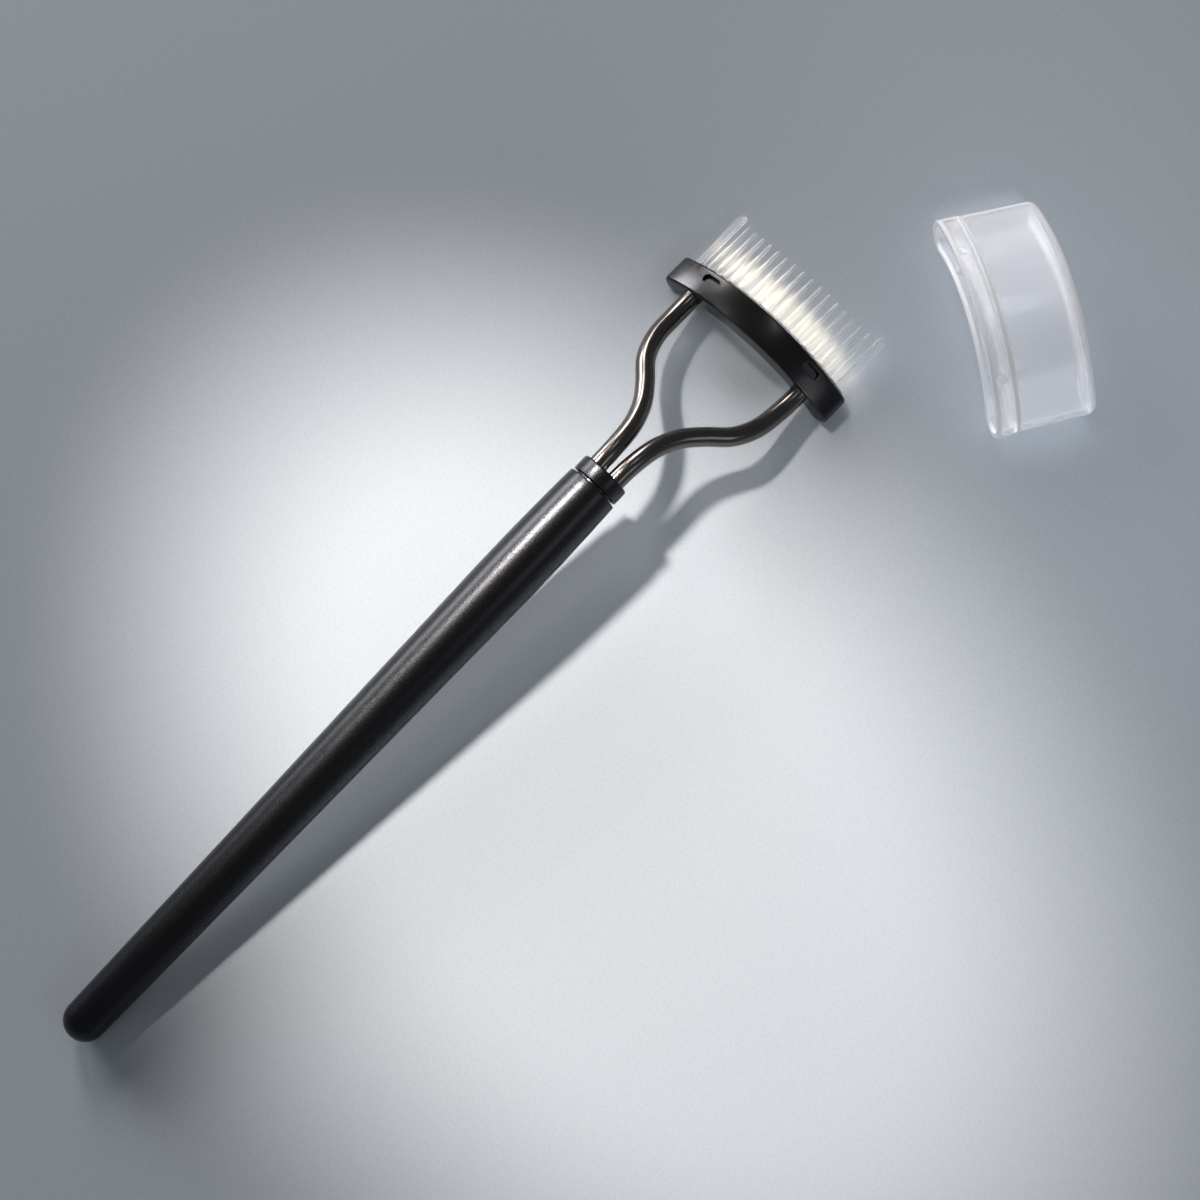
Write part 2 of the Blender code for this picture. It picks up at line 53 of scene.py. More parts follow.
MM = 0.001
MERGE = 0.0008 * MM
LENGTHWISE = "share_of_length"
# Chords on a fillet, and on an edge that is only eased.
FILLET_STEPS, EASE_STEPS = 8, 4
# Nearly all values of a noise texture lie between these two.
NOISE_LOW, NOISE_HIGH = 0.3, 0.7
log = logging.getLogger("eyelash_comb")

Profile = list[tuple[float, float]]


class Side(Enum):
    """Side of the comb, seen from its handle, as the sign of X there."""

    LEFT = -1
    RIGHT = 1


class Boolean(Enum):
    """What a Boolean does with its second solid."""

    CUT = "DIFFERENCE"
    JOIN = "UNION"


# Modelling by operators


def deselect_all() -> None:
    """Leaves no object selected."""
    if bpy.context.mode != "OBJECT":
        bpy.ops.object.mode_set(mode="OBJECT")
    bpy.ops.object.select_all(action="DESELECT")


def pick(*objects: bpy.types.Object) -> None:
    """Selects only these objects and makes the first of them active.

    Args:
        *objects: The objects to select.
    """
    deselect_all()
    for obj in objects:
        obj.select_set(True)
    bpy.context.view_layer.objects.active = objects[0]


def draw_line(name: str, points: list[Vector]) -> bpy.types.Object:
    """Draws a line of edges by extruding a vertex, and leaves it selected in edit mode.

    Args:
        name: Name of the new object.
        points: Corners of the line, in metres.

    Returns:
        The object, in edit mode.
    """
    deselect_all()
    bpy.ops.mesh.primitive_plane_add(size=MM, location=points[0])
    line = bpy.context.active_object
    line.name = name
    bpy.ops.object.transform_apply(location=True, rotation=True, scale=True)
    bpy.ops.object.mode_set(mode="EDIT")
    bpy.ops.mesh.select_mode(type="VERT")
    bpy.ops.mesh.select_all(action="SELECT")
    bpy.ops.mesh.merge(type="CENTER")
    for start, end in zip(points, points[1:]):
        bpy.ops.mesh.extrude_vertices_move(TRANSFORM_OT_translate={"value": end - start})
    bpy.ops.mesh.select_all(action="SELECT")
    return line


def spin(angle: float, steps: int, centre: Vector, axis: Vector) -> None:
    """Spins what is selected about a line, and leaves its new end selected.

    Args:
        angle: How far it turns by the right hand rule, in radians.
        steps: Number of faces along the turn.
        centre: A point of the line.
        axis: Direction of the line.
    """
    bpy.ops.mesh.spin(steps=steps, angle=-angle, center=centre, axis=axis)


def close_mesh(obj: bpy.types.Object) -> bpy.types.Object:
    """Merges the seams and poles of a spun mesh, points its faces outwards and leaves edit mode.

    Args:
        obj: The object in edit mode.

    Returns:
        The same object, in object mode.
    """
    bpy.ops.mesh.select_all(action="SELECT")
    bpy.ops.mesh.remove_doubles(threshold=MERGE)
    bpy.ops.mesh.dissolve_degenerate(threshold=MERGE)
    bpy.ops.mesh.select_all(action="SELECT")
    bpy.ops.mesh.normals_make_consistent(inside=False)
    bpy.ops.object.mode_set(mode="OBJECT")
    return obj


def lathe(name: str, profile: Profile, steps: int) -> bpy.types.Object:
    """Turns a profile about the Y axis into a closed solid.

    Args:
        name: Name of the new object.
        profile: Points as (radius, distance along Y), from the axis and back to it.
        steps: Number of faces round.

    Returns:
        The turned object.
    """
    turned = draw_line(name, [Vector((0.0, y, radius)) for radius, y in profile])
    spin(2 * math.pi, steps, Vector((0.0, 0.0, 0.0)), Vector((0.0, 1.0, 0.0)))
    return close_mesh(turned)


def boolean(obj: bpy.types.Object, other: bpy.types.Object, kind: Boolean) -> None:
    """Cuts another solid out of the object or joins it on, and removes the other one.

    Args:
        obj: The solid that stays.
        other: The solid that is used up.
        kind: Whether to cut or to join.
    """
    pick(obj)
    modifier = obj.modifiers.new("boolean", "BOOLEAN")
    modifier.operation = kind.value
    modifier.solver = "EXACT"
    modifier.object = other
    bpy.ops.object.modifier_apply(modifier=modifier.name)
    bpy.data.objects.remove(other)


def place(obj: bpy.types.Object, matrix: Matrix) -> None:
    """Moves an object and applies the move to its mesh.

    Args:
        obj: The object, which is left at the origin, unturned.
        matrix: Where its own axes go.
    """
    pick(obj)
    obj.matrix_world = matrix @ obj.matrix_world
    bpy.context.view_layer.update()
    bpy.ops.object.transform_apply(location=True, rotation=True, scale=True)


def mark_lengthwise(obj: bpy.types.Object, length: float) -> None:
    """Stores on each vertex how far along Y it is, for the cap's painted glow, which changes from
    end to end.

    Args:
        obj: The object, before it is moved to its place.
        length: Distance at which the stored share is 1.
    """
    shares = obj.data.attributes.new(LENGTHWISE, "FLOAT", "POINT")
    for vertex in obj.data.vertices:
        shares.data[vertex.index].value = vertex.co.y / length


def smooth(obj: bpy.types.Object, angle: float) -> None:
    """Shades an object smooth, with sharp edges where its faces meet at more than an angle.

    Args:
        obj: The object to shade.
        angle: The angle, in degrees.
    """
    pick(obj)
    bpy.ops.object.shade_smooth_by_angle(angle=math.radians(angle))


def arc(
    centre: tuple[float, float], radius: float, start: float, end: float, steps: int
) -> Profile:
    """Points on an arc of a profile.

    Args:
        centre: Middle of the arc, as (thickness, y).
        radius: Radius of the arc.
        start: First angle in degrees, where 0 points to greater thickness and 90 to greater y.
        end: Last angle in degrees.
        steps: Number of chords.

    Returns:
        steps + 1 points.
    """
    points = []
    for i in range(steps + 1):
        angle = math.radians(start + (end - start) * i / steps)
        points.append(
            (centre[0] + radius * math.cos(angle), centre[1] + radius * math.sin(angle))
        )
    return points


# Materials


def linear(hex_code: str) -> tuple[float, float, float, float]:
    """Turns an sRGB hex colour into the linear colour that a shader takes, by the sRGB curve.

    Args:
        hex_code: Colour as "#rrggbb".

    Returns:
        Linear red, green and blue, and an alpha of 1.
    """
    channels = []
    for start in (1, 3, 5):
        value = int(hex_code[start : start + 2], 16) / 255.0
        if value <= 0.04045:
            channels.append(value / 12.92)
        else:
            channels.append(((value + 0.055) / 1.055) ** 2.4)
    return (channels[0], channels[1], channels[2], 1.0)


def add_node(
    tree: bpy.types.NodeTree,
    kind: str,
    settings: dict[str, Any] | None = None,
    links: dict[str | int, bpy.types.NodeSocket] | None = None,
) -> bpy.types.Node:
    """Adds a node with its settings and links.

    Args:
        tree: The node tree.
        kind: Type of the node, such as "ShaderNodeBump".
        settings: Values by socket name, or by property name where no socket has it.
        links: Output sockets of other nodes, by the name or number of the input they feed.

    Returns:
        The new node.
    """
    node = tree.nodes.new(kind)
    for name, value in (settings or {}).items():
        if name in node.inputs:
            node.inputs[name].default_value = value
        else:
            setattr(node, name, value)
    for name, socket in (links or {}).items():
        tree.links.new(socket, node.inputs[name])
    return node


def add_grain(
    tree: bpy.types.NodeTree,
    size: float,
    sheen: tuple[float, float],
    detail: float = 2.0,
    unevenness: float = 0.5,
) -> tuple[bpy.types.NodeSocket, bpy.types.NodeSocket]:
    """Adds a grain that stays with the piece, and a roughness that follows it.

    Args:
        tree: The material's node tree.
        size: Size of the grain, in metres.
        sheen: Roughness in the grain's hollows and on its peaks.
        detail: How many finer grains lie on it.
        unevenness: How strong each finer grain is.

    Returns:
        The grain's height and the roughness.
    """
    position = add_node(tree, "ShaderNodeTexCoord")
    grain = add_node(
        tree,
        "ShaderNodeTexNoise",
        {"Scale": 1.0 / size, "Detail": detail, "Roughness": unevenness},
        {"Vector": position.outputs["Object"]},
    )
    roughness = add_node(
        tree,
        "ShaderNodeMapRange",
        {
            "From Min": NOISE_LOW,
            "From Max": NOISE_HIGH,
            "To Min": sheen[0],
            "To Max": sheen[1],
        },
        {"Value": grain.outputs["Fac"]},
    )
    return grain.outputs["Fac"], roughness.outputs["Result"]


@dataclass(frozen=True)
class Finish:
    """A finish that can be put on a piece."""

    name: str

    def build_surface(self, tree: bpy.types.NodeTree) -> bpy.types.NodeSocket:
        """Adds the nodes of the surface. Each kind of finish has its own."""
        raise NotImplementedError

    def build(self) -> bpy.types.Material:
        """Makes the material.

        Returns:
            The finished material.
        """
        material = bpy.data.materials.new(self.name)
        material.use_nodes = True
        tree = material.node_tree
        tree.nodes.clear()
        surface = self.build_surface(tree)
        add_node(tree, "ShaderNodeOutputMaterial", {}, {"Surface": surface})
        return material

    def put_on(self, obj: bpy.types.Object) -> None:
        """Gives an object this finish alone.

        Args:
            obj: The object.
        """
        material = bpy.data.materials.get(self.name) or self.build()
        obj.data.materials.clear()
        obj.data.materials.append(material)


@dataclass(frozen=True)
class GrainedBlack(Finish):
    """A black skin that isn't seen through, with a fine grain in its sheen."""

    colour: str
    roughness: float
    swing: float
    grain_size: float
    grain_height: float
    grain_detail: float = 2.0
    grain_unevenness: float = 0.5
    bump_strength: float = 1.0
    metallic: float = 1.0
    ior: float = 1.5

    def build_surface(self, tree: bpy.types.NodeTree) -> bpy.types.NodeSocket:
        """Adds the nodes of the surface.

        Args:
            tree: The material's node tree.

        Returns:
            The surface.
        """
        grain, sheen = add_grain(
            tree,
            self.grain_size,
            (self.roughness - self.swing, self.roughness + self.swing),
            self.grain_detail,
            self.grain_unevenness,
        )
        bump = add_node(
            tree,
            "ShaderNodeBump",
            {"Strength": self.bump_strength, "Distance": self.grain_height},
            {"Height": grain},
        )
        shader = add_node(
            tree,
            "ShaderNodeBsdfPrincipled",
            {"Base Color": linear(self.colour), "Metallic": self.metallic, "IOR": self.ior},
            {"Roughness": sheen, "Normal": bump.outputs["Normal"]},
        )
        return shader.outputs["BSDF"]


@dataclass(frozen=True)
class SatinBlackMetal(GrainedBlack):
    """Aluminium, bead blasted and dyed black by anodising.

    The dye leaves almost no diffuse colour. What the eye sees is a soft grey
    sheen that breaks up into fine sparkle from the blasted grain. That grain is
    a few hundredths of a millimetre wide, too fine to show in the picture, so
    it is drawn coarser here.
    """

    colour: str = "#38383a"
    roughness: float = 0.31
    swing: float = 0.07
    grain_size: float = 0.16 * MM
    grain_height: float = 0.011 * MM
    grain_unevenness: float = 0.6


@dataclass(frozen=True)
class BlackNickel(GrainedBlack):
    """Steel wire plated with black nickel over a polish.

    Black nickel is a dark warm mirror: it shows the lamps as long sharp lines
    and everything else as deep brown black. The polish leaves shallow ripples
    a millimetre or so wide, which bend those lines a little.
    """

    colour: str = "#6b6663"
    roughness: float = 0.20
    swing: float = 0.03
    grain_size: float = 1.2 * MM
    grain_height: float = 0.004 * MM
    grain_detail: float = 3.0
    bump_strength: float = 0.6


@dataclass(frozen=True)
class BlackAbs(GrainedBlack):
    """ABS, injection moulded in black against a polished tool.

    Deep black with a clear gloss, slightly uneven where the skin has sunk, and
    a trace of fine grain in the highlights.
    """

    colour: str = "#060607"
    roughness: float = 0.22
    swing: float = 0.04
    grain_size: float = 0.30 * MM
    grain_height: float = 0.002 * MM
    metallic: float = 0.0
    ior: float = 1.54


@dataclass(frozen=True)
class ClearPlastic(Finish):
    """A plastic that is seen through, and that lets the lamps shine through to the table."""

    colour: str
    roughness: float
    haze_size: float
    face_clear: float
    edge_clear: float
    lamp_share: str
    haze_swing: float = 0.25
    edge_blend: float = 0.40
    edge_band: tuple[float, float] = (0.35, 0.80)
    ior: float = 1.49

    def build_haze(self, tree: bpy.types.NodeTree) -> bpy.types.NodeSocket:
        """Adds the slightly uneven gloss of a moulded skin.

        Args:
            tree: The material's node tree.

        Returns:
            The roughness.
        """
        swing = self.haze_swing * self.roughness
        sheen = (self.roughness - swing, self.roughness + swing)
        return add_grain(tree, self.haze_size, sheen)[1]

    def build_clearness(self, tree: bpy.types.NodeTree) -> bpy.types.NodeSocket:
        """Adds how clear the wall is: least where it is seen along its length.

        Args:
            tree: The material's node tree.

        Returns:
            The share of light that goes through.
        """
        edge = add_node(tree, "ShaderNodeLayerWeight", {"Blend": self.edge_blend})
        clearness = add_node(
            tree,
            "ShaderNodeMapRange",
            {
                "interpolation_type": "SMOOTHSTEP",
                "From Min": self.edge_band[0],
                "From Max": self.edge_band[1],
                "To Min": self.face_clear,
                "To Max": self.edge_clear,
            },
            {"Value": edge.outputs["Facing"]},
        )
        return clearness.outputs["Result"]

    def build_surface(self, tree: bpy.types.NodeTree) -> bpy.types.NodeSocket:
        """Adds the nodes of the surface, which lets a lamp's light through to the table.

        Args:
            tree: The material's node tree.

        Returns:
            The surface.
        """
        shader = add_node(
            tree,
            "ShaderNodeBsdfPrincipled",
            {"Base Color": linear(self.colour), "IOR": self.ior},
            {
                "Roughness": self.build_haze(tree),
                "Transmission Weight": self.build_clearness(tree),
            },
        )
        ray = add_node(tree, "ShaderNodeLightPath")
        clear = add_node(tree, "ShaderNodeBsdfTransparent", {"Color": linear(self.lamp_share)})
        surface = add_node(
            tree,
            "ShaderNodeMixShader",
            {},
            {
                0: ray.outputs["Is Shadow Ray"],
                1: shader.outputs["BSDF"],
                2: clear.outputs["BSDF"],
            },
        )
        return surface.outputs["Shader"]


@dataclass(frozen=True)
class ClearAcrylic(ClearPlastic):
    """Acrylic, injection moulded clear.

    Almost colourless: the middle of each thin tooth is seen through. Its two
    edges, where the tooth is seen along, are painted white as fine bright
    lines, a painted highlight that stands in for light bent and trapped there.
    The skin has a very slight haze from the tool.
    """

    colour: str = "#fcfdfe"
    roughness: float = 0.06
    haze_size: float = 0.8 * MM
    face_clear: float = 0.93
    # The teeth's white edges are a painted highlight, not a colour of the acrylic.
    edge_clear: float = 0.05
    lamp_share: str = "#d9dcdf"


@dataclass(frozen=True)
class MilkyPolypropylene(ClearPlastic):
    """Polypropylene, injection moulded without colour.

    The crystals in it scatter light, so a thin wall is a pale haze with the
    table showing through. A wall seen along its length turns white. The lip,
    the skirt's step and the closed end are painted white as well: a painted
    glow that stands in for the light that runs inside the wall and comes out there.
    """

    colour: str = "#fbfbfc"
    roughness: float = 0.16
    haze_size: float = 3.0 * MM
    face_clear: float = 0.80
    edge_clear: float = 0.05
    lamp_share: str = "#eceef0"
    length: float = 12.95 * MM
    # Painted glow: how clear the wall is at a distance from the lip, in millimetres. Its opaque
    # white at the lip, the step and the closed end stands in for light that runs inside the wall.
    painted_glow: tuple[tuple[float, float], ...] = (
        (0.00, 0.00),
        (0.40, 0.00),
        (0.62, 0.78),
        (1.20, 0.83),
        (2.36, 0.83),
        (2.50, 0.00),
        (2.94, 0.00),
        (3.10, 0.84),
        (11.50, 0.83),
        (12.20, 0.28),
        (12.95, 0.10),
    )

    def build_clearness(self, tree: bpy.types.NodeTree) -> bpy.types.NodeSocket:
        """Adds how clear the wall is: least where it is seen along, and at its ends and its step,
        which are painted white as a painted glow.

        Args:
            tree: The material's node tree.

        Returns:
            The share of light that goes through.
        """
        seen_along = super().build_clearness(tree)
        # Painted glow along the cap's length: opaque white at the lip, the step and the closed
        # end.
        along = add_node(tree, "ShaderNodeAttribute", {"attribute_name": LENGTHWISE})
        painted_glow_ramp = add_node(tree, "ShaderNodeValToRGB", {}, {"Fac": along.outputs["Fac"]})
        stops = painted_glow_ramp.color_ramp.elements
        for distance, _ in self.painted_glow[1:-1]:
            stops.new(distance * MM / self.length)
        for stop, (_, clear) in zip(stops, self.painted_glow):
            stop.color = (clear, clear, clear, 1.0)
        least = add_node(
            tree,
            "ShaderNodeMath",
            {"operation": "MINIMUM"},
            {0: seen_along, 1: painted_glow_ramp.outputs["Color"]},
        )
        return least.outputs["Value"]


@dataclass(frozen=True)
class PaleTable(Finish):
    """Laminate, pressed against a satin plate.

    A pale cool grey with faint flecks. Its satin grain is drawn coarser than
    the real one, which is too fine to show in the picture.
    """

    colour: str = "#bdc4cb"
    fleck: str = "#b8bfc6"
    fleck_band: tuple[float, float] = (0.36, 0.52)
    roughness: float = 0.55
    specular: float = 0.25
    grain_size: float = 0.35 * MM
    grain_height: float = 0.01 * MM
    grain_detail: float = 2.0
    bump_strength: float = 0.25

    def build_surface(self, tree: bpy.types.NodeTree) -> bpy.types.NodeSocket:
        """Adds the nodes of the surface.

        Args:
            tree: The material's node tree.

        Returns:
            The surface.
        """
        position = add_node(tree, "ShaderNodeTexCoord")
        grain = add_node(
            tree,
            "ShaderNodeTexNoise",
            {"Scale": 1.0 / self.grain_size, "Detail": self.grain_detail},
            {"Vector": position.outputs["Object"]},
        )
        bump = add_node(
            tree,
            "ShaderNodeBump",
            {"Strength": self.bump_strength, "Distance": self.grain_height},
            {"Height": grain.outputs["Fac"]},
        )
        flecks = add_node(tree, "ShaderNodeValToRGB", {}, {"Fac": grain.outputs["Fac"]})
        dark, pale = flecks.color_ramp.elements
        dark.color, pale.color = linear(self.fleck), linear(self.colour)
        dark.position, pale.position = self.fleck_band
        shader = add_node(
            tree,
            "ShaderNodeBsdfPrincipled",
            {"Roughness": self.roughness, "Specular IOR Level": self.specular},
            {"Base Color": flecks.outputs["Color"], "Normal": bump.outputs["Normal"]},
        )
        return shader.outputs["BSDF"]


# Where the comb lies


@dataclass(frozen=True)
class CombPlace:
    """Where the comb lies. Its origin is on the table, under the middle of the tail's dome."""

    origin: Vector
    rise: float = math.radians(5.0)
    tail_radius: float = 2.58 * MM
    tail_dome: float = 2.45 * MM

    def on_table(self) -> Matrix:
        """Gives the frame that lies flat on the table, +Y towards the teeth."""
        return Matrix.Translation(self.origin)

    def on_handle(self) -> Matrix:
        """Gives the frame along the handle's axis, which starts at the tail's end.

        Returns:
            The frame's matrix.
        """
        lift = Matrix.Translation((0.0, 0.0, self.tail_radius))
        tilt = Matrix.Rotation(self.rise, 4, "X")
        back = Matrix.Translation((0.0, -self.tail_dome, 0.0))
        return self.on_table() @ lift @ tilt @ back


@dataclass(frozen=True)
class Arch:
    """The arc that the head, the comb strip and the cap all follow."""

    end_angle: float
    centre_height: float
    radius: float = 19.0 * MM
    steps: int = 72
    end_steps: int = 20

    def at(self, angle: float, thickness: float, y: float) -> Vector:
        """Gives a point of the arch.

        Args:
            angle: Angle from the crown, positive to the right.
            thickness: Distance outwards from the arch's middle line.
            y: Distance along the comb.

        Returns:
            The point.
        """
        reach = self.radius + thickness
        return Vector(
            (reach * math.sin(angle), y, self.centre_height + reach * math.cos(angle))
        )

    def height(self, x: float) -> float:
        """Gives the height of the middle line at a distance from the comb's middle plane."""
        return self.centre_height + math.sqrt(self.radius**2 - x**2)

    def sweep(self, name: str, profile: Profile) -> bpy.types.Object:
        """Sweeps half a section round the arch and its two round ends into a closed solid.

        Args:
            name: Name of the new object.
            profile: Points as (half thickness, y), from the middle line and back to it.

        Returns:
            The swept object.
        """
        first = [self.at(-self.end_angle, thick, y) for thick, y in profile]
        swept = draw_line(name, first)
        middle = Vector((0.0, 0.0, self.centre_height))
        forward = Vector((0.0, 1.0, 0.0))
        whole = 2 * self.end_angle
        spin(whole, self.steps, middle, forward)
        spin(math.pi, self.end_steps, self.at(self.end_angle, 0.0, 0.0), forward)
        spin(whole, self.steps, middle, -forward)
        spin(math.pi, self.end_steps, self.at(-self.end_angle, 0.0, 0.0), forward)
        return close_mesh(swept)

    def stand(self, along: float, thickness: float, y: float) -> Matrix:
        """Gives the frame of something that stands on the arch, its +Y axis pointing outwards.

        Args:
            along: Distance along the middle line from the crown.
            thickness: Distance outwards from the middle line.
            y: Distance along the comb.

        Returns:
            The frame's matrix.
        """
        angle = along / self.radius
        out = Vector((math.sin(angle), 0.0, math.cos(angle)))
        tangent = Vector((math.cos(angle), 0.0, -math.sin(angle)))
        turn = Matrix((tangent, out, tangent.cross(out))).transposed().to_4x4()
        return Matrix.Translation(self.at(angle, thickness, y)) @ turn


# The comb's pieces


@dataclass
class Piece:
    """A finished piece and what it stands for."""

    obj: bpy.types.Object
    node: str
    body: str
    finish: Finish

    def hand_over(self) -> None:
        """Dresses the piece and makes it ride in place of its node."""
        self.finish.put_on(self.obj)
        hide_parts(self.node)
        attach(self.obj, self.body)
        log.info(
            "%s stands for %s on %s, %d faces",
            self.obj.name,
            self.node,
            self.body,
            len(self.obj.data.polygons),
        )


@dataclass
class Grip:
    """The turned handle and the collar in its mouth, which holds the wires."""

    place: CombPlace
    length: float = 87.0 * MM
    mark_radius: float = 0.55 * MM
    mark_floor_radius: float = 0.385 * MM
    mark_depth: float = 0.30 * MM
    swell_end: float = 72.0 * MM
    swell_radius: float = 3.58 * MM
    neck_start: float = 74.0 * MM
    neck_radius: float = 3.36 * MM
    mouth_chamfer: float = 0.16 * MM
    socket_radius: float = 2.76 * MM
    socket_depth: float = 10.0 * MM
    groove: float = 0.30 * MM
    collar_radius: float = 3.20 * MM
    collar_length: float = 2.00 * MM
    collar_chamfer: float = 0.12 * MM
    collar_fillet: float = 0.30 * MM
    slot_half_length: float = 2.76 * MM
    slot_half_width: float = 1.35 * MM
    # Just under a half circle, so that the two rounded edges of a side don't meet.
    slot_rounding: float = 0.98
    slot_steps: int = 12
    prong_length: float = 8.5 * MM
    prong_room: float = 0.15 * MM
    cut_past: float = 1.0 * MM
    sides: int = 120
    dome_steps: int = 20
    taper_steps: int = 14
    neck_steps: int = 14
    rim_steps: int = 5
    sharp_angle: float = 32.0

    def radius(self, y: float) -> float:
        """Gives the handle's outer radius.

        Args:
            y: Distance from the tail's end.

        Returns:
            The radius.
        """
        dome = self.place.tail_dome
        swell = min((y - dome) / (self.swell_end - dome), 1.0)
        neck = max((y - self.neck_start) / (self.length - self.neck_start), 0.0)
        tail = self.place.tail_radius
        radius = tail + (self.swell_radius - tail) * swell
        return radius + (self.neck_radius - self.swell_radius) * neck**2

    def build_handle(self) -> bpy.types.Object:
        """Turns the handle: domed tail with a centre mark, taper, neck and open mouth.

        Returns:
            The handle.
        """
        tail, dome = self.place.tail_radius, self.place.tail_dome
        profile: Profile = [(0.0, self.mark_depth), (self.mark_floor_radius, self.mark_depth)]
        first = math.asin(self.mark_radius / tail)
        for i in range(self.dome_steps + 1):
            angle = first + (math.pi / 2 - first) * i / self.dome_steps
            profile.append((tail * math.sin(angle), dome * (1.0 - math.cos(angle))))
        end = self.length - self.mouth_chamfer
        for i in range(1, self.taper_steps + 1):
            y = dome + (self.swell_end - dome) * i / self.taper_steps
            profile.append((self.radius(y), y))
        for i in range(self.neck_steps + 1):
            y = self.neck_start + (end - self.neck_start) * i / self.neck_steps
            profile.append((self.radius(y), y))
        rim = (self.neck_radius - self.mouth_chamfer, end)
        profile += arc(rim, self.mouth_chamfer, 0.0, 90.0, self.rim_steps)[1:]
        profile.append((self.socket_radius, self.length))
        profile.append((self.socket_radius, self.length - self.socket_depth))
        profile.append((0.0, self.length - self.socket_depth))
        handle = lathe("turned_handle", profile, self.sides)
        place(handle, self.place.on_handle())
        smooth(handle, self.sharp_angle)
        return handle

    def build_collar(self) -> bpy.types.Object:
        """Turns the collar and cuts the slot that the two wires lie in.

        Returns:
            The collar.
        """
        back = self.length + self.groove
        front = back + self.collar_length
        prong = self.socket_radius - self.prong_room
        corner = (self.collar_radius - self.collar_fillet, front - self.collar_fillet)
        edge = (self.collar_radius - self.collar_chamfer, back + self.collar_chamfer)
        profile: Profile = [(0.0, back - self.prong_length), (prong, back - self.prong_length)]
        profile.append((prong, back))
        profile += arc(edge, self.collar_chamfer, -90.0, 0.0, EASE_STEPS)
        profile += arc(corner, self.collar_fillet, 0.0, 90.0, FILLET_STEPS)
        profile.append((0.0, front))
        collar = lathe("wire_ferrule", profile, self.sides)
        slot = self.slot_cutter(back - self.prong_length - self.cut_past, front + self.cut_past)
        boolean(collar, slot, Boolean.CUT)
        place(collar, self.place.on_handle())
        smooth(collar, self.sharp_angle)
        return collar

    def slot_cutter(self, start: float, end: float) -> bpy.types.Object:
        """Makes the solid that cuts the collar's slot, a bar with round sides.

        Args:
            start: Where it begins along the handle.
            end: Where it ends.

        Returns:
            The cutter.
        """
        deselect_all()
        bpy.ops.mesh.primitive_cube_add(size=1.0, location=(0.0, (start + end) / 2, 0.0))
        cutter = bpy.context.active_object
        cutter.scale = (2 * self.slot_half_length, end - start, 2 * self.slot_half_width)
        bpy.ops.object.transform_apply(location=True, rotation=True, scale=True)
        rounding = cutter.modifiers.new("round_sides", "BEVEL")
        rounding.width = self.slot_rounding * self.slot_half_width
        rounding.segments = self.slot_steps
        rounding.limit_method = "WEIGHT"
        weights = cutter.data.attributes.new("bevel_weight_edge", "FLOAT", "EDGE")
        for edge in cutter.data.edges:
            a, b = (cutter.data.vertices[i].co for i in edge.vertices)
            along = abs(b.y - a.y) > (end - start) / 2
            weights.data[edge.index].value = 1.0 if along else 0.0
        bpy.ops.object.modifier_apply(modifier=rounding.name)
        return cutter


